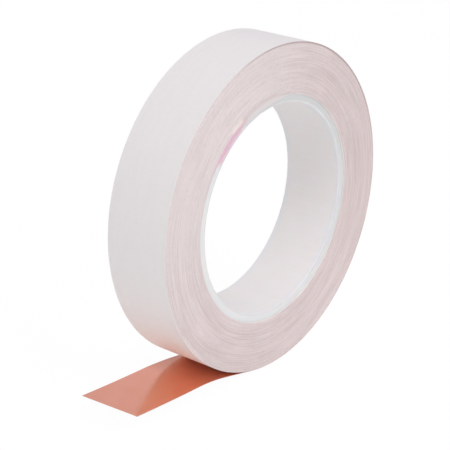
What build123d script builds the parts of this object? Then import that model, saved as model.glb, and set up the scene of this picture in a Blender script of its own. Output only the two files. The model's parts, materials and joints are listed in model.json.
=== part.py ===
"""Roll of copper foil tape on a plastic core, with its free end drawn off the bottom.

The tape is a laminate: copper foil inside, adhesive under it, and a paper release liner outside.
Frame, in millimetres: origin at the centre of the core's bore, +Y along the bore's axis,
+Z up, and the free end (the tail) leaving the bottom of the roll towards -X.
The near side is the one at -Y, and angles go from +X towards +Z as seen from there.
"""
from build123d import *
from math import cos, degrees, radians, sin
import os

# ---- the tape's three layers
tape_width = 25.0
liner_thickness = 0.11
adhesive_thickness = 0.03
foil_thickness = 0.035

# ---- the winding
winding_radius = 59.5       # outside of the liner where the tail leaves the roll
group_count = 6             # groups of turns that lie side by side on the end faces
group_wander = 0.1          # how far off the middle a group was laid

# ---- the core, a plastic tube a little shorter than the tape is wide
bore_radius = 38.1
core_wall = 2.8
core_width = 24.0
core_setback = 0.6          # from the winding's near face to the core's near end
bore_edge_chamfer = 0.8
outer_edge_chamfer = 0.2

# ---- the tab that sticks the start of the tape to the core
tab_thickness = 0.1
tab_start_angle = 119.0
tab_end_angle = 138.0

# ---- the tail: a straight run, a bend away from the roll, and a slight curl back
departure_lag = 13.5        # degrees past the roll's lowest point
tail_length = 61.1
straight_run = 15.5
bend_radius = 81.0
bend_angle = 10.0
curl_radius = 890.0

# ---- the stiff links that stand for the flexible tail
stub_length = 5.0           # of the tail that stays with the roll
link_count = 5
crease_gap = 0.1

turn_pitch = liner_thickness + adhesive_thickness + foil_thickness
half_width = tape_width / 2
core_radius = bore_radius + core_wall
core_middle = core_setback - half_width + core_width / 2
departure = 270.0 - departure_lag

# the last link is half as long again as the others, and its liner peels from its first third on
link_length = (tail_length - stub_length) / (link_count + 0.5)
peel_distance = tail_length - link_length

# each layer's two faces, as depths below the liner's outer face
layers = {
    "liner": (0.0, liner_thickness),
    "adhesive": (liner_thickness, liner_thickness + adhesive_thickness),
    "foil": (liner_thickness + adhesive_thickness, turn_pitch),
}


def polar(radius, angle):
    """The point at a radius and angle in the roll's middle plane."""
    return Vector(radius * cos(radians(angle)), radius * sin(radians(angle)))


def across(profile, width=tape_width, middle=0.0):
    """A solid of a width along the bore's axis, from a profile in the roll's middle plane."""
    return Pos(0, middle, 0) * extrude(Plane.XZ * profile, amount=width / 2, both=True)


def band(outside, inside):
    """The face between two chains of edges that run the same way."""
    ends = [Line(outside[0] @ 0, inside[0] @ 0), Line(outside[-1] @ 1, inside[-1] @ 1)]
    return make_face([*outside, *inside, *ends])


# ---------------------------------------------------------------- core and starter tab
def make_core():
    """A tube with chamfered edges, turned about the bore's axis."""
    wall = Pos(bore_radius + core_wall / 2, core_middle) * Rectangle(core_wall, core_width)
    wall = chamfer(wall.vertices().group_by(Axis.X)[0], bore_edge_chamfer)
    wall = chamfer(wall.vertices().group_by(Axis.X)[-1], outer_edge_chamfer)
    return revolve(wall, Axis.Y)


def tab_profile():
    """A thin sector on the core's outside, between the tab's two end angles."""
    span = tab_end_angle - tab_start_angle
    return band(
        [CenterArc((0, 0), core_radius + tab_thickness, tab_start_angle, span)],
        [CenterArc((0, 0), core_radius, tab_start_angle, span)],
    )


# ---------------------------------------------------------------- wound turns
def spiral(depth):
    """A face of the outermost turn, followed from the tail back into the roll.

    It is two half circles, the second about a centre half a pitch off, so the line stays
    smooth and comes round exactly one pitch deeper.
    """
    radius = winding_radius - depth
    second_centre = polar(turn_pitch / 2, departure + 180)
    return [
        CenterArc((0, 0), radius, departure, 180),
        CenterArc(second_centre, radius - turn_pitch / 2, departure + 180, 180),
    ]


def make_outer_turn(depths):
    """One layer of the outermost turn: a spiral band, and the start of the tail."""
    outside, inside = (spiral(depth) for depth in depths)
    stub = tail_piece(depths, 0, crease_distance(1) - crease_gap / 2)
    return across(band(outside, inside)) + stub


def make_inner_turns():
    """All the turns under the outermost one, in groups that wandered to either side.

    The outside follows one turn of the spiral, so it has a step of one pitch where the
    outermost turn goes under. A pocket on the inside holds the starter tab.
    """
    rim = spiral(turn_pitch)
    outline = make_face([*rim, Line(rim[1] @ 1, rim[0] @ 0)])
    group_depth = (winding_radius - 2 * turn_pitch - core_radius) / group_count
    last = group_count - 1
    inner_radius = core_radius + last * group_depth
    turns = across(outline - Circle(inner_radius))
    for group in range(last):
        inner_radius = core_radius + group * group_depth
        ring = Circle(inner_radius + group_depth) - Circle(inner_radius)
        turns += across(ring, middle=group_wander * (-1) ** group)
    return turns - across(tab_profile(), width=tape_width + 4 * group_wander)


# ---------------------------------------------------------------- tail
def tail_line(depth):
    """The tail's line at a depth below the liner's outer face, as three tangent edges."""
    start = polar(winding_radius - depth, departure)
    heading = polar(1, departure - 90)
    curl_run = tail_length - straight_run - bend_radius * radians(bend_angle)
    curl_angle = degrees(curl_run / curl_radius)
    straight = Line(start, start + heading * straight_run)
    bend = JernArc(straight @ 1, straight % 1, bend_radius + depth, bend_angle)
    curl = JernArc(bend @ 1, bend % 1, curl_radius - depth, -curl_angle)
    return [straight, bend, curl]


def tail_point(distance, depth):
    """The point a distance along the tail, at a depth below the liner's outer face."""
    line = Wire(tail_line(depth))
    return line.position_at(distance / tail_length)


def tail_piece(depths, start, end):
    """One layer of the tail between two distances along it, cut square to the tape."""
    margin = turn_pitch
    corners = [
        tail_point(start, -margin),
        tail_point(end, -margin),
        tail_point(end, turn_pitch + margin),
        tail_point(start, turn_pitch + margin),
    ]
    slab = make_face(Polyline(*corners, close=True))
    outside, inside = (tail_line(depth) for depth in depths)
    return across(band(outside, inside) & slab)


def crease_distance(link):
    """How far along the tail the crease before a link lies; links count from 1."""
    return stub_length + (link - 1) * link_length


def make_tail():
    """Every link's three layers, with the last link's liner split where it peels."""
    pieces = {}
    for link in range(1, link_count + 1):
        start = crease_distance(link) + crease_gap / 2
        end = crease_distance(link + 1) - crease_gap / 2
        for name, depths in layers.items():
            if link == link_count:
                end = peel_distance - crease_gap / 2 if name == "liner" else tail_length
            pieces[f"tail_{link}_{name}"] = tail_piece(depths, start, end)
    tip_start = peel_distance + crease_gap / 2
    pieces["liner_tip"] = tail_piece(layers["liner"], tip_start, tail_length)
    return pieces


def print_creases():
    """The creases' places in the roll's middle plane: across the tape, and in the liner."""
    for link in range(1, link_count + 1):
        place = tail_point(crease_distance(link), turn_pitch / 2)
        print(f"crease {link}: X {place.X:.4f} Z {place.Y:.4f}")
    place = tail_point(peel_distance, liner_thickness / 2)
    print(f"peel crease: X {place.X:.4f} Z {place.Y:.4f}")


nodes = {"core": make_core(), "starter_tab": across(tab_profile(), core_width, core_middle)}
nodes["inner_turns"] = make_inner_turns()
for layer_name, layer_depths in layers.items():
    nodes[f"outer_turn_{layer_name}"] = make_outer_turn(layer_depths)
nodes.update(make_tail())

os.makedirs("parts", exist_ok=True)
for node, shape in nodes.items():
    export_step(shape, f"parts/{node}.step")
print_creases()
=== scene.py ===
import json
from math import atan2, cos, degrees, hypot, pi, radians, sin

import bmesh
import bpy
from mathutils import Matrix, Vector, noise


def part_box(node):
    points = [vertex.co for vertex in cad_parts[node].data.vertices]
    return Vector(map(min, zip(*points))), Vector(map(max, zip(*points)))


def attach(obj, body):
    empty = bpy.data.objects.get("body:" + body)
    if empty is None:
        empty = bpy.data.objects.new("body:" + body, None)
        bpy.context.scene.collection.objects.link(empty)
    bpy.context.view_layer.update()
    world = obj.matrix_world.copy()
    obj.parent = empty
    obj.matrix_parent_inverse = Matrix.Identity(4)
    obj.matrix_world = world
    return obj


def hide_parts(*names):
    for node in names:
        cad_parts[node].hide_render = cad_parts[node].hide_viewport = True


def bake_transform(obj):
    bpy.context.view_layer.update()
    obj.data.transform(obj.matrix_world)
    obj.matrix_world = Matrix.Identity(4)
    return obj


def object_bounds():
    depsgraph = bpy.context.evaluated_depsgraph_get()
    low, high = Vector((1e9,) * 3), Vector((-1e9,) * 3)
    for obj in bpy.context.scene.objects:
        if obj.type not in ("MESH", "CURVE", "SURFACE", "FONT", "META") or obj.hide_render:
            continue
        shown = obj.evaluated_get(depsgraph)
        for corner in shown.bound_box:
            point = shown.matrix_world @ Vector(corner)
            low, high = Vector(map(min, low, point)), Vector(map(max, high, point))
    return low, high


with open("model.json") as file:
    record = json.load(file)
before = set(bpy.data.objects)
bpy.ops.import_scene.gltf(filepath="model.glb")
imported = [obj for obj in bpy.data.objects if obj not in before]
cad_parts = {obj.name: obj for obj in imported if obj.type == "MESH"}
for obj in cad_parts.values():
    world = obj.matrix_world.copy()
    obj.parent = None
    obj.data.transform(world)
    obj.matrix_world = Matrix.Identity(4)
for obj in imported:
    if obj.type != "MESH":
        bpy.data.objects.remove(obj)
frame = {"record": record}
cad_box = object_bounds()

# ---------------------------------------------------------------- core
# A length of milky plastic tube, three inches inside, on which the tape is wound.
# It is cut a little shorter than the tape is wide, and its cut edges are broken.
# Angles here and below run from +X towards +Z, as seen from the near side at -Y.
mm = 0.001
axle = Vector((0, -1, 0))
turn_steps = 150                # facets in one turn of everything round
fine_relief = 0.01 * mm         # how deep the grain of most surfaces is
mounts = {mount["name"]: mount for mount in frame["record"]["mounts"]}
bore_radius = mounts["core_bore"]["dims"]["r_mm"] * mm
core_low, core_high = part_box("core")
core_radius = core_high.x
core_middle = (core_low.y + core_high.y) / 2
core_half = (core_high.y - core_low.y) / 2
broken_edges = {bore_radius: 0.8 * mm, core_radius: 0.1 * mm}  # how wide each is


def loop(bm, corners):
    """The vertices and edges of a closed outline through (radius, y) corners, at angle 0."""
    verts = [bm.verts.new((radius, y, 0)) for radius, y in corners]
    return verts + [bm.edges.new(pair) for pair in zip(verts, verts[1:] + verts[:1])]


def shade(bm, sharpest=25):
    """Shades a shape smooth, but for edges that turn by more than an angle in degrees."""
    for face in bm.faces:
        face.smooth = True
    for edge in bm.edges:
        edge.smooth = edge.calc_face_angle(0) < radians(sharpest)


def piece(name, bm, slot, *materials):
    """The finished piece, at the origin with its place in its mesh."""
    bmesh.ops.recalc_face_normals(bm, faces=bm.faces)
    shade(bm)
    mesh = bpy.data.meshes.new(name)
    bm.to_mesh(mesh)
    bm.free()
    for material in materials:
        mesh.materials.append(material)
    made = bpy.data.objects.new(name, mesh)
    bpy.context.scene.collection.objects.link(made)
    return made


def finish_of(name, colour, roughness, **settings):
    """A material with one Principled shader, and that shader for the section to add to."""
    material = bpy.data.materials.new(name)
    material.use_nodes = True
    shader = material.node_tree.nodes["Principled BSDF"]
    shader.inputs["Base Color"].default_value = (*colour, 1)
    shader.inputs["Roughness"].default_value = roughness
    for socket, value in settings.items():
        shader.inputs[socket.replace("_", " ")].default_value = value
    return material, shader


def node(material, kind, inputs=None, **settings):
    """A new shader node. An input is given a value, or the socket to link to it."""
    made = material.node_tree.nodes.new("ShaderNode" + kind)
    for name, value in settings.items():
        setattr(made, name, value)
    for name, value in (inputs or {}).items():
        if isinstance(value, bpy.types.NodeSocket):
            material.node_tree.links.new(value, made.inputs[name])
        else:
            made.inputs[name].default_value = value
    return made


def maths(material, operation, *numbers):
    """The result of a sum, product or the like. Each number is a value or a socket."""
    return node(material, "Math", dict(enumerate(numbers)), operation=operation).outputs[0]


def vectors(material, operation, *arrows):
    """The same for vectors, as a node, because some give a vector and some a number."""
    return node(material, "VectorMath", dict(enumerate(arrows)), operation=operation)


def along_bore(material):
    """The place on the object along the bore's axis."""
    place = node(material, "TexCoord").outputs["Object"]
    return node(material, "SeparateXYZ", {0: place}).outputs["Y"]


def flat_place(material):
    """The place on the object less its part along the bore's axis."""
    place = node(material, "TexCoord").outputs["Object"]
    return vectors(material, "MULTIPLY", place, (1, 0, 1)).outputs[0]


def radius_of(material):
    """The distance from the bore's axis."""
    return vectors(material, "LENGTH", flat_place(material)).outputs["Value"]


def heading_of(material):
    """The direction from the bore's axis, one long."""
    return vectors(material, "NORMALIZE", flat_place(material)).outputs[0]


def round_grain(material, around, across=0.0, along=0.0, detail=2.0):
    """Noise that wraps round the roll, with so many grains to a metre outwards and along."""
    outwards = maths(material, "MULTIPLY", radius_of(material), across)
    shift = maths(material, "MULTIPLY_ADD", along_bore(material), along, outwards)
    offset = node(material, "CombineXYZ", {"Y": shift}).outputs[0]
    size = (around, around, around)
    where = vectors(material, "MULTIPLY_ADD", heading_of(material), size, offset).outputs[0]
    grain = node(material, "TexNoise", {"Vector": where, "Scale": 1.0, "Detail": detail})
    return grain.outputs["Fac"]


def speckle(material, grains, stretch=(1, 1, 1), detail=3.0):
    """Noise on the object itself, with so many grains to a metre."""
    place = node(material, "TexCoord").outputs["Object"]
    where = vectors(material, "MULTIPLY", place, stretch).outputs[0]
    grain = node(material, "TexNoise", {"Vector": where, "Scale": grains, "Detail": detail})
    return grain.outputs["Fac"]


def ramp(material, value, start, end, low=0.0, high=1.0, soft=False):
    """A number that goes from low to high as the value goes from start to end."""
    span = {"Value": value, "From Min": start, "From Max": end, "To Min": low, "To Max": high}
    kind = "SMOOTHSTEP" if soft else "LINEAR"
    return node(material, "MapRange", span, interpolation_type=kind).outputs[0]


def gap(material, value, middle):
    """How far a value lies from the middle of something, to either side."""
    return maths(material, "ABSOLUTE", maths(material, "SUBTRACT", value, middle))


def between(material, share, low, high):
    """A colour so far on the way from low to high."""
    mix = node(material, "Mix", {0: share}, data_type="RGBA")
    for socket, colour in zip([s for s in mix.inputs if s.type == "RGBA"], (low, high)):
        if isinstance(colour, bpy.types.NodeSocket):
            material.node_tree.links.new(colour, socket)
        else:
            socket.default_value = (*colour, 1)
    return next(socket for socket in mix.outputs if socket.type == "RGBA")


def mottled(material, grain, start, end, dark, light):
    """A colour that goes from dark to light as a grain goes from start to end."""
    return between(material, ramp(material, grain, start, end), dark, light)


def towards(material, angle, half_spread, soft_edge):
    """1 near an angle round the roll and 0 beyond its spread, all in degrees."""
    middle = (cos(radians(angle)), 0, sin(radians(angle)))
    facing = vectors(material, "DOT_PRODUCT", heading_of(material), middle).outputs["Value"]
    outside = cos(radians(half_spread + soft_edge / 2))
    inside = cos(radians(half_spread - soft_edge / 2))
    return ramp(material, facing, outside, inside, soft=True)


def wear(material, shader, colour=None, roughness=None, height=None, depth=fine_relief):
    """Gives a shader its patterned colour, roughness and relief, so deep in metres."""
    link = material.node_tree.links.new
    if colour:
        link(colour, shader.inputs["Base Color"])
    if roughness:
        link(roughness, shader.inputs["Roughness"])
    if height:
        bump = node(material, "Bump", {"Height": height, "Distance": depth})
        link(bump.outputs[0], shader.inputs["Normal"])


core_plastic, core_shader = finish_of(
    "milky_core_plastic", (0.84, 0.81, 0.81), 0.42, Subsurface_Weight=0.2,
    Subsurface_Scale=1.5 * mm,
)
core_depth = radius_of(core_plastic)

# the wall is faintly streaked and clouded, and cooler in tone near the tube's ends
drawn_lines = round_grain(core_plastic, around=45, along=15)
clouding = speckle(core_plastic, 70)
streaks = maths(core_plastic, "ADD", drawn_lines, clouding)
bore_tone = mottled(
    core_plastic, streaks, 0.7, 1.3, (0.83, 0.795, 0.795), (0.86, 0.825, 0.825)
)
from_middle = gap(core_plastic, along_bore(core_plastic), core_middle)
near_end = ramp(
    core_plastic, from_middle, core_half - 3.2 * mm, core_half - 0.9 * mm, soft=True
)
bore_tone = between(core_plastic, near_end, bore_tone, (0.815, 0.805, 0.83))

# the ends carry the knife's rings, and have painted shade over the upper right
knife_rings = round_grain(core_plastic, around=1.5, across=2500)
end_tone = mottled(
    core_plastic, knife_rings, 0.35, 0.65, (0.665, 0.67, 0.68), (0.695, 0.70, 0.71)
)
painted_shade_side = towards(core_plastic, 50, 80, 100)
end_tone = between(core_plastic, painted_shade_side, (0.76, 0.76, 0.765), end_tone)
# more painted shade on the end, about 60 degrees round
painted_shade_top_right = towards(core_plastic, 60, 40, 45)
end_tone = between(core_plastic, painted_shade_top_right, end_tone, (0.605, 0.61, 0.615))

# painted light on the broken edge in the bore: painted shade about -38 degrees over its highlight,
# and a painted highlight about 58 degrees; each has an angle, how far to either side of it, and the
# tone there
edge_light_marks = [(-38, 18, (0.65, 0.655, 0.67)), (58, 15, (0.745, 0.75, 0.775))]
# the edge takes the ends' painted shade over the upper right
edge_tone = between(core_plastic, painted_shade_side, (0.705, 0.705, 0.715), (0.69, 0.695, 0.715))
for angle, half_spread, tone in edge_light_marks:
    edge_light_mask = towards(core_plastic, angle, half_spread, 30)
    edge_tone = between(core_plastic, edge_light_mask, edge_tone, tone)

broken = ramp(core_plastic, core_depth, bore_radius, bore_radius + 0.35 * mm)
cut_off = ramp(core_plastic, core_depth, bore_radius + 0.6 * mm, bore_radius + 0.9 * mm)
core_tone = between(core_plastic, broken, bore_tone, edge_tone)
core_tone = between(core_plastic, cut_off, core_tone, end_tone)
satin = ramp(core_plastic, clouding, 0.3, 0.7, 0.38, 0.48)
wear(core_plastic, core_shader, core_tone, satin, knife_rings)

bm = bmesh.new()
walls = [(bore_radius, core_low.y), (core_radius, core_low.y)]
walls += [(core_radius, core_high.y), (bore_radius, core_high.y)]
bmesh.ops.spin(
    bm, geom=loop(bm, walls), cent=(0, 0, 0), axis=axle, angle=2 * pi,
    steps=turn_steps, use_merge=True,
)
bmesh.ops.remove_doubles(bm, verts=bm.verts, dist=0.001 * mm)
bmesh.ops.recalc_face_normals(bm, faces=bm.faces)
for radius, width in broken_edges.items():
    rims = [
        edge for edge in bm.edges
        if edge.calc_face_angle(0) > radians(60)
        and abs(hypot(edge.verts[0].co.x, edge.verts[0].co.z) - radius) < 0.05 * mm
    ]
    bmesh.ops.bevel(
        bm, geom=rims, offset=width, offset_type="OFFSET", segments=3, profile=0.5,
        affect="EDGES", material=-1,
    )
core = piece("core_tube", bm, "core_plastic", core_plastic)
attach(core, "roll")
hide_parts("core")

# ---------------------------------------------------------------- starter tab
# A short piece of pink film tape that holds the first turn to the core. Its edge shows
# between the two, and the milky plastic takes on some of its colour near the end.
tab_start = 119.0
tab_end = 138.0
tab_middle = (tab_start + tab_end) / 2
tab_half = (tab_end - tab_start) / 2
tab_thickness = 0.1 * mm
tab_steps = 12
tab_low, tab_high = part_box("starter_tab")
tab_film, tab_shader = finish_of("pink_tab_film", (0.85, 0.45, 0.62), 0.35)
film_lines = round_grain(tab_film, around=12, along=1800)
film_tone = mottled(tab_film, film_lines, 0.3, 0.7, (0.80, 0.40, 0.57), (0.88, 0.50, 0.66))
wear(tab_film, tab_shader, film_tone, height=film_lines)

stain = (0.74, 0.47, 0.58)      # the tab's colour, seen through the plastic and the edges
stain_run = 2.0                 # degrees that it runs on past the tab
under_tab = towards(core_plastic, tab_middle + stain_run / 2, tab_half + stain_run / 2, 4)
near_tab = ramp(core_plastic, core_depth, bore_radius + 0.4 * mm, core_radius - 1.0 * mm)
stained = maths(core_plastic, "MULTIPLY", under_tab, near_tab)
wear(core_plastic, core_shader, between(core_plastic, stained, core_tone, stain))

bm = bmesh.new()
walls = [(core_radius, tab_low.y), (core_radius + tab_thickness, tab_low.y)]
walls += [(core_radius + tab_thickness, tab_high.y), (core_radius, tab_high.y)]
geom = loop(bm, walls)
start = Matrix.Rotation(radians(tab_start), 3, axle)
bmesh.ops.rotate(bm, verts=bm.verts, cent=(0, 0, 0), matrix=start)
bmesh.ops.spin(
    bm, geom=geom, cent=(0, 0, 0), axis=axle, angle=radians(tab_end - tab_start),
    steps=tab_steps,
)
bmesh.ops.holes_fill(bm, edges=bm.edges)
tab = piece("starter_film", bm, "tab_film", tab_film)
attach(tab, "roll")
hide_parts("starter_tab")

# ---------------------------------------------------------------- wound turns
# One laminated strip, slit to width and wound some hundred times: copper foil inside and
# paper liner outside, so the liner's white edges show between copper hairlines. It is one
# spiral, and wanders a few hundredths of a millimetre to either side as it is laid.
liner = 0.11 * mm
adhesive = 0.03 * mm
foil = 0.035 * mm
pitch = liner + adhesive + foil
departure = 256.5               # where the tape leaves the roll
winding_low, winding_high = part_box("outer_turn_liner")
winding_radius = winding_high.x
half_width = winding_high.y
turn_count = int((winding_radius - pitch - core_radius) / pitch)
group_count = 6
group_wander = 0.03 * mm        # how far off the middle a group of turns was laid
turn_wander = 0.03 * mm
edge_recess = 0.02 * mm         # where foil meets adhesive, behind the liner's edge


def way_round(point):
    """How far round from the departure a point lies, in radians and under one turn.

    A point just short of the departure counts as on it.
    """
    slack = 0.001
    return (atan2(point.z, point.x) - radians(departure) + slack) % (2 * pi) - slack


def sunk(angle):
    """How far the spiral has sunk below a ring that starts with it at the departure.

    The spiral is two half circles, the second about a centre half a pitch off.
    """
    return pitch / 2 * (1 + cos(angle)) if angle > pi else 0


def wind_in(bm, last):
    """Turns rings, spun from the departure, into the spiral that the strip follows."""
    for vert in bm.verts:
        angle = 2 * pi if vert in last else way_round(vert.co)
        radius = hypot(vert.co.x, vert.co.z)
        kept = max(radius - sunk(angle), core_radius) / radius
        vert.co.x *= kept
        vert.co.z *= kept


def wound(bm, corners, move=None):
    """Spins a closed outline once round from the departure and winds it in."""
    geom = loop(bm, corners)
    start = Matrix.Rotation(radians(departure), 3, axle)
    bmesh.ops.rotate(bm, verts=bm.verts, cent=(0, 0, 0), matrix=start)
    spun = bmesh.ops.spin(
        bm, geom=geom, cent=(0, 0, 0), axis=axle, angle=2 * pi, steps=turn_steps,
        use_merge=False,
    )
    last = {item for item in spun["geom_last"] if isinstance(item, bmesh.types.BMVert)}
    if move:
        move(bm, last)
    wind_in(bm, last)


def lay(turn):
    """How far the strip lies to the far side, so many turns in from the outside."""
    radius = winding_radius - turn * pitch
    group_depth = (winding_radius - 2 * pitch - core_radius) / group_count
    group = int((radius - core_radius) / group_depth)
    side = (-1) ** group if group < group_count - 1 else 0
    quick_drift = noise.noise((turn * 0.83, 0, 0))      # from one turn to the next
    slow_drift = noise.noise((turn * 0.21, 5, 0))       # over a handful of turns
    return group_wander * side + turn_wander * (quick_drift + slow_drift)


def lay_turns(bm, last):
    """Moves each turn of the rings to the side that it was laid."""
    for vert in bm.verts:
        radius = hypot(vert.co.x, vert.co.z)
        whole = int((winding_radius - radius) / pitch + 0.01)   # radii are a little off
        share = 1 if vert in last else way_round(vert.co) / (2 * pi)
        vert.co.y += lay(whole + share)


cut_side = [(core_radius, half_width)]
for turn in range(turn_count, 0, -1):
    inside = winding_radius - (turn + 1) * pitch
    cut_side += [(inside, half_width)]
    cut_side += [(inside + foil, half_width - edge_recess)]
    cut_side += [(inside + foil + adhesive, half_width)]
cut_side += [(winding_radius - pitch, half_width)]

bm = bmesh.new()
inner_wall_end = core_low.y - 0.02 * mm
corners = [(core_radius, inner_wall_end)]
corners += [(radius, -y) for radius, y in cut_side] + list(reversed(cut_side))
wound(bm, corners, lay_turns)

# the first turns were started nearly level with the core's end, and step out from there;
# just before the tab they lean in over it
dish_level = core_low.y - 0.12 * mm
dish_depth = 2.2 * mm
lean_in = 1.3 * mm
lean_depth = 2.4 * mm
lean_middle = 103.0
lean_half = 21.0
lean_fullness = 1.8             # over 1, so the lean is full over a stretch of the turn
near_side = core_low.y - 0.05 * mm
for vert in bm.verts:
    radius = hypot(vert.co.x, vert.co.z)
    if vert.co.y > near_side or radius > core_radius + lean_depth:
        continue
    inward = max(1 - (radius - core_radius) / dish_depth, 0) ** 2
    vert.co.y += (dish_level - vert.co.y) * inward
    off = abs((degrees(atan2(vert.co.z, vert.co.x)) - lean_middle + 180) % 360 - 180)
    share = min(lean_fullness * cos(min(off / lean_half, 1) * pi / 2), 1)
    lean = lean_in * share * (1 - (radius - core_radius) / lean_depth)
    vert.co.x *= 1 - lean / radius
    vert.co.z *= 1 - lean / radius
bmesh.ops.remove_doubles(bm, verts=bm.verts, dist=0.002 * mm)
bmesh.ops.holes_fill(bm, edges=bm.edges)

painted_light_tone = (0.72, 0.70, 0.71)       # painted light, on the upper left of the face
smear_and_shade = (0.34, 0.24, 0.24)      # where more copper is smeared over the edges, and painted shade
first_fold = (0.85, 0.74, 0.71)
# painted light over the shaded step between the core and the first turns
painted_step_light = (0.82, 0.81, 0.82)

# painted shade on the outer edge at the upper right, over the right of the face, on turns that lie
# a little deeper and on the turns that lean in before the tab, then the tab's stain and the first
# fold: each has a radius and how far either side of it, an angle and how far either side of that, a
# share and a tone
ring_marks = [
    (59.1 * mm, 0.5 * mm, 60.0, 42.0, 0.75, smear_and_shade),
    (50.0 * mm, 25.0 * mm, 25.0, 50.0, 0.09, smear_and_shade),
    (48.0 * mm, 0.7 * mm, 17.0, 40.0, 0.10, smear_and_shade),
    (51.0 * mm, 0.7 * mm, 37.0, 40.0, 0.10, smear_and_shade),
    (core_radius, 2.4 * mm, tab_middle + 2.0, tab_half + 3.0, 1.0, stain),
    (core_radius + 1.9 * mm, 1.7 * mm, tab_start + 2.2, 3.6, 1.0, first_fold),
    (core_radius, 6.0 * mm, 104.0, 16.0, 0.14, smear_and_shade),
]


def edge_finish(name, dark, light, roughness):
    """The cut edge of a layer, whose tone drifts from turn to turn in hairline rings, with painted
    light and painted shade on the face.
    """
    material, shader = finish_of(name, light, roughness)
    hairlines = round_grain(material, around=3.0, across=2300, detail=1.5)
    bands = round_grain(material, around=0.9, across=260, detail=1.0)
    rings = between(material, 0.25, hairlines, bands)
    tone = mottled(material, rings, 0.38, 0.62, dark, light)
    # painted light on the upper left of the face
    painted_light_share = maths(material, "MULTIPLY", towards(material, 135, 55, 50), 0.3)
    tone = between(material, painted_light_share, tone, painted_light_tone)
    depth = radius_of(material)
    # painted light on the inner wall and first turns beside the core
    painted_step_share = ramp(
        material, depth, core_radius + 0.05 * mm, core_radius + 0.55 * mm, 0.6, 0.0, soft=True
    )
    tone = between(material, painted_step_share, tone, painted_step_light)
    # the ring marks: painted shade, the tab's stain and the first fold
    for radius, half_ring, angle, half_spread, share, mark_tone in ring_marks:
        off_ring = gap(material, depth, radius)
        in_ring = ramp(material, off_ring, half_ring, 0.0, 0.0, share, soft=True)
        in_spread = towards(material, angle, half_spread, half_spread)
        mark = maths(material, "MULTIPLY", in_ring, in_spread)
        tone = between(material, mark, tone, mark_tone)
    lint = ramp(material, speckle(material, 650), 0.54, 0.70, 0.0, 0.10)
    tone = between(material, lint, tone, smear_and_shade)
    handling = ramp(material, speckle(material, 110), 0.45, 0.75, 0.0, 0.07)
    tone = between(material, handling, tone, smear_and_shade)
    wear(material, shader, tone, height=speckle(material, 1500))
    return material


liner_edge = edge_finish("liner_cut_edge", (0.70, 0.65, 0.65), (0.80, 0.755, 0.755), 0.7)
adhesive_edge = edge_finish("adhesive_cut_edge", (0.55, 0.355, 0.355), (0.67, 0.475, 0.475), 0.5)
foil_edge = edge_finish("foil_cut_edge", (0.54, 0.335, 0.335), (0.65, 0.435, 0.435), 0.45)
for face in bm.faces:
    middle = face.calc_center_median()
    depth = winding_radius - hypot(middle.x, middle.z) - sunk(way_round(middle))
    in_pitch = depth / pitch % 1 * pitch
    face.material_index = 0 if in_pitch < liner else 1 if in_pitch < liner + adhesive else 2

# the turns' own map lays the two sides out as two rings, each with a wall in its hole
near_map = (0.25, 0.75)
far_map = (0.75, 0.25)
map_scale = 0.245 / winding_radius
wall_area = 1.0 * mm * mm       # only the walls have faces as large as this
flat_map = bm.loops.layers.uv.new("OFBake")
for face in bm.faces:
    middle = face.calc_center_median()
    is_wall = face.calc_area() > wall_area
    is_near = middle.y < 0 if not is_wall else hypot(middle.x, middle.z) < core_radius + pitch
    side, (across, up) = (-1, near_map) if is_near else (1, far_map)
    for corner in face.loops:
        x, y, z = corner.vert.co
        radius = hypot(x, z)
        reach = core_radius - max(half_width - side * y, 0) if is_wall else radius
        scale = reach * map_scale / radius
        corner[flat_map].uv = (across + x * scale, up + z * scale)
turns = piece("wound_turns", bm, "wound_edges", liner_edge, adhesive_edge, foil_edge)
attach(turns, "roll")
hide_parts("inner_turns")

# ---------------------------------------------------------------- outermost turn
# The last turn on the roll, in its three layers: white paper release liner outside,
# clear acrylic adhesive, and soft rolled copper foil inside.
layers = {
    "liner": (0, liner),
    "adhesive": (liner, liner + adhesive),
    "foil": (liner + adhesive, pitch),
}

liner_paper, liner_shader = finish_of("liner_paper", (0.85, 0.81, 0.815), 0.5)
fibres = speckle(liner_paper, 900, stretch=(1, 0.6, 1))
coating = round_grain(liner_paper, around=6, along=700)
paper_grain = maths(liner_paper, "ADD", fibres, coating)
paper_tone = mottled(
    liner_paper, paper_grain, 0.7, 1.3, (0.838, 0.802, 0.807), (0.858, 0.824, 0.83)
)
paper_sheen = ramp(liner_paper, fibres, 0.3, 0.7, 0.44, 0.56)
wear(liner_paper, liner_shader, paper_tone, paper_sheen, fibres)

clear_adhesive, adhesive_shader = finish_of("clear_adhesive", (0.75, 0.66, 0.58), 0.15)
bubbles = speckle(clear_adhesive, 3000)
glue_tone = mottled(clear_adhesive, bubbles, 0.4, 0.6, (0.72, 0.62, 0.53), (0.78, 0.69, 0.61))
wear(clear_adhesive, adhesive_shader, glue_tone, height=bubbles, depth=0.005 * mm)

copper_foil, copper_shader = finish_of("copper_foil", (0.98, 0.44, 0.275), 0.16, Metallic=1.0)
rolling_lines = speckle(copper_foil, 1.0, stretch=(25, 2200, 25))
tarnish = speckle(copper_foil, 120, detail=2.0)
copper_tone = mottled(copper_foil, tarnish, 0.3, 0.7, (0.97, 0.425, 0.26), (0.99, 0.455, 0.29))
copper_sheen = ramp(copper_foil, rolling_lines, 0.3, 0.7, 0.13, 0.20)
wear(copper_foil, copper_shader, copper_tone, copper_sheen, rolling_lines, 0.001 * mm)

finishes = {
    "liner": ("liner_paper", liner_paper, liner_edge),
    "adhesive": ("clear_adhesive", clear_adhesive, adhesive_edge),
    "foil": ("copper_foil", copper_foil, foil_edge),
}


def cut_sides(bm):
    """Gives a strip's two slit sides the finish of a cut edge."""
    bmesh.ops.recalc_face_normals(bm, faces=bm.faces)
    for face in bm.faces:
        face.material_index = 1 if abs(face.normal.y) > 0.7 else 0


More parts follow.
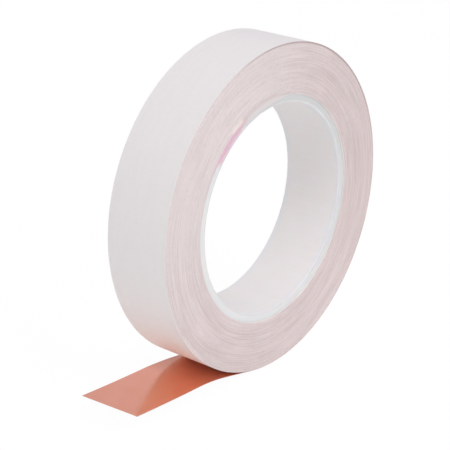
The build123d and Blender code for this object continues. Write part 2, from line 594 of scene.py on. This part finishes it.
for layer, (top, bottom) in layers.items():
    bm = bmesh.new()
    outer, inner = winding_radius - top, winding_radius - bottom
    corners = [(outer, -half_width), (outer, half_width), (inner, half_width), (inner, -half_width)]
    wound(bm, corners)
    bmesh.ops.holes_fill(bm, edges=bm.edges)
    cut_sides(bm)
    band = piece(f"last_turn_{layer}", bm, *finishes[layer])
    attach(band, "roll")
    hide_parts(f"outer_turn_{layer}")

# ---------------------------------------------------------------- tail
# The free end, drawn off the bottom of the roll. It sets straight, bends down away from
# the roll and curls back a little, and its liner is cut with it.
tail_length = 61.0 * mm
straight_run = 15.5 * mm
bend_radius = 81.0 * mm
bend_turn = radians(10)
curl_radius = 890.0 * mm
tail_twist = radians(2.3)       # the far edge hangs lower than the near one
twist_run = 20.0 * mm
stub_length = 5.0 * mm          # of the tail that stays with the roll
link_count = 5                  # stiff links, which the CAD gives the tail
link_length = (tail_length - stub_length) / (link_count + 0.5)
peel_run = 0.6 * link_length    # three fifths of a link; the place this far into the tip is found, but nothing uses it
station_gap = 0.5 * mm
bend_run = bend_radius * bend_turn
curl_run = tail_length - straight_run - bend_run
stretches = (
    (straight_run, 0.0),
    (bend_run, bend_turn),
    (curl_run, -curl_run / curl_radius),
)


def along(distance):
    """The point on the liner's outer face this far along the tail, and the way it heads."""
    root = Matrix.Rotation(radians(departure), 3, axle) @ Vector((1, 0, 0))
    place, heading = root * winding_radius, Matrix.Rotation(radians(-90), 3, axle) @ root
    for run, turn in stretches:
        part = min(max(distance, 0), run)
        angle = turn * part / run
        chord = part * (sin(angle / 2) / (angle / 2) if angle else 1)
        place = place + Matrix.Rotation(angle / 2, 3, axle) @ heading * chord
        heading = Matrix.Rotation(angle, 3, axle) @ heading
        distance -= part
    return place, heading


def station(distance):
    """The tail's own axes there: ahead, across from its near edge, up, and the near edge."""
    place, heading = along(distance)
    share = min(max((distance - stub_length) / twist_run, 0), 1)
    twist = Matrix.Rotation(tail_twist * share * share * (3 - 2 * share), 3, heading)
    across, up = twist @ Vector((0, 1, 0)), twist @ heading.cross(axle)
    near_edge = place - Vector((0, half_width, 0))
    axes = Matrix((heading, across, up)).transposed().to_4x4()
    return Matrix.Translation(near_edge) @ axes


def drawn_strip(top, bottom, start, end):
    """One layer of the tail between two distances along it, extruded station by station."""
    bm = bmesh.new()
    steps = round((end - start) / station_gap)
    here = station(start)
    corners = [(0, top), (2 * half_width, top), (2 * half_width, bottom), (0, bottom)]
    verts = [bm.verts.new(here @ Vector((0, y, depth))) for y, depth in corners]
    edges = [bm.edges.new(pair) for pair in zip(verts, verts[1:] + verts[:1])]
    for step in range(1, steps + 1):
        there = station(start + (end - start) * step / steps)
        made = bmesh.ops.extrude_edge_only(bm, edges=edges)["geom"]
        verts = [item for item in made if isinstance(item, bmesh.types.BMVert)]
        edges = [
            item for item in made
            if isinstance(item, bmesh.types.BMEdge) and set(item.verts) <= set(verts)
        ]
        bmesh.ops.transform(bm, matrix=there @ here.inverted(), verts=verts)
        here = there
    bmesh.ops.holes_fill(bm, edges=bm.edges)
    return bm


# the strips are cut in the middle of the links, so that each one lies over one crease
cuts = [0.0]
cuts += [stub_length + (link - 0.5) * link_length for link in range(1, link_count + 1)]
cuts += [tail_length]
for layer, (top, bottom) in layers.items():
    for link in range(1, link_count + 2):
        start, end = cuts[link - 1:link + 1]
        bm = drawn_strip(top, bottom, start, end)
        cut_sides(bm)
        strip = piece(f"drawn_{layer}_{link}", bm, *finishes[layer])
        before = f"tail_{link - 1}" if link > 1 else "roll"
        bend_start, bend_end = along(start)[0], along(end)[0]
        if link <= link_count:
            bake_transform(strip)
            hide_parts(f"tail_{link}_{layer}")
        elif layer == "liner":
            peel_end = along(start + peel_run)[0]
            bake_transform(strip)
            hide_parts("liner_tip")
        else:
            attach(strip, before)

# ---------------------------------------------------------------- table, lamps and camera
# A white table in a room of soft, pale light. The table and the room show pure white,
# the table keeps a faint shadow, and the copper mirrors a wall that is darker low down.
table_half = 20.0               # so wide that its far edge is never seen
glow_share = 0.93               # the rest is matte, and keeps the shadow
white_table = bpy.data.materials.new("white_table")
white_table.use_nodes = True
white_table.node_tree.nodes.clear()
ray = node(white_table, "LightPath").outputs
direct = maths(white_table, "MAXIMUM", ray["Is Camera Ray"], ray["Is Glossy Ray"])
direct = maths(white_table, "MAXIMUM", direct, ray["Is Transmission Ray"])
glowing = maths(white_table, "MULTIPLY", direct, glow_share)
matte = node(white_table, "BsdfDiffuse", {"Color": (0.85, 0.85, 0.85, 1)})
glow = node(white_table, "Emission", {"Color": (1, 1, 1, 1), "Strength": 1.02})
table_top = node(white_table, "MixShader", {0: glowing, 1: matte.outputs[0], 2: glow.outputs[0]})
node(white_table, "OutputMaterial", {"Surface": table_top.outputs[0]})

bm = bmesh.new()
bmesh.ops.create_grid(bm, x_segments=1, y_segments=1, size=table_half)
bmesh.ops.translate(bm, verts=bm.verts, vec=(0, 0, cad_box[0].z))
mesh = bpy.data.meshes.new("table")
bm.to_mesh(mesh)
bm.free()
mesh.materials.append(white_table)
table = bpy.data.objects.new("table", mesh)
bpy.context.scene.collection.objects.link(table)

studio = bpy.data.worlds.new("studio")
bpy.context.scene.world = studio
studio.use_nodes = True
studio.node_tree.nodes.clear()
direction = node(studio, "TexCoord").outputs["Generated"]
height = node(studio, "SeparateXYZ", {0: direction}).outputs["Z"]
wall = mottled(studio, height, 0.14, 0.36, (0.42, 0.40, 0.45), (0.75, 0.715, 0.84))
leftward = vectors(studio, "DOT_PRODUCT", direction, (-1, -0.3, 0)).outputs["Value"]
white_panel = ramp(studio, leftward, 0.0, 0.5, soft=True)
mirrored = node(studio, "Background", {"Color": between(studio, white_panel, wall, (1, 1, 1))})
room = node(studio, "Background", {"Color": (0.55, 0.55, 0.55, 1), "Strength": 1.0})
white = node(studio, "Background", {"Color": (1, 1, 1, 1), "Strength": 1.0})
ray = node(studio, "LightPath").outputs
direct = maths(studio, "MAXIMUM", ray["Is Camera Ray"], ray["Is Transmission Ray"])
lit = node(
    studio, "MixShader", {0: ray["Is Glossy Ray"], 1: room.outputs[0], 2: mirrored.outputs[0]}
)
light = node(studio, "MixShader", {0: direct, 1: lit.outputs[0], 2: white.outputs[0]})
node(studio, "OutputWorld", {"Surface": light.outputs[0]})


def soft_box(name, place, width, watts):
    """A square area lamp that faces the middle of the roll."""
    lamp = bpy.data.lights.new(name, "AREA")
    lamp.size = width
    lamp.energy = watts
    made = bpy.data.objects.new(name, lamp)
    made.location = place
    made.rotation_euler = (-Vector(place)).to_track_quat("-Z", "Y").to_euler()
    bpy.context.scene.collection.objects.link(made)


soft_box("high_left_lamp", (-0.7, 0, 0.7), 0.5, 0.82)
soft_box("high_front_lamp", (0, -0.7, 0.7), 0.5, 4.3)
soft_box("near_left_lamp", (-0.30, -0.22, 0.06), 0.2, 0.13)
soft_box("low_back_lamp", (0.15, 0.85, 0.12), 0.3, 1.8)

azimuth = radians(-50.769)
elevation = radians(22.905)
distance = 542.53 * mm
aim = Vector((-7.885, 4.508, -7.707)) * mm
away = Vector((sin(azimuth) * cos(elevation), -cos(azimuth) * cos(elevation), sin(elevation)))
lens = bpy.data.cameras.new("camera")
lens.lens = 122.612
lens.sensor_width = 36.0
lens.clip_start = 1 * mm
camera = bpy.data.objects.new("camera", lens)
camera.location = aim + away * distance
camera.rotation_euler = (-away).to_track_quat("-Z", "Y").to_euler()
bpy.context.scene.collection.objects.link(camera)
bpy.context.scene.camera = camera
bpy.context.scene.view_settings.view_transform = "Standard"
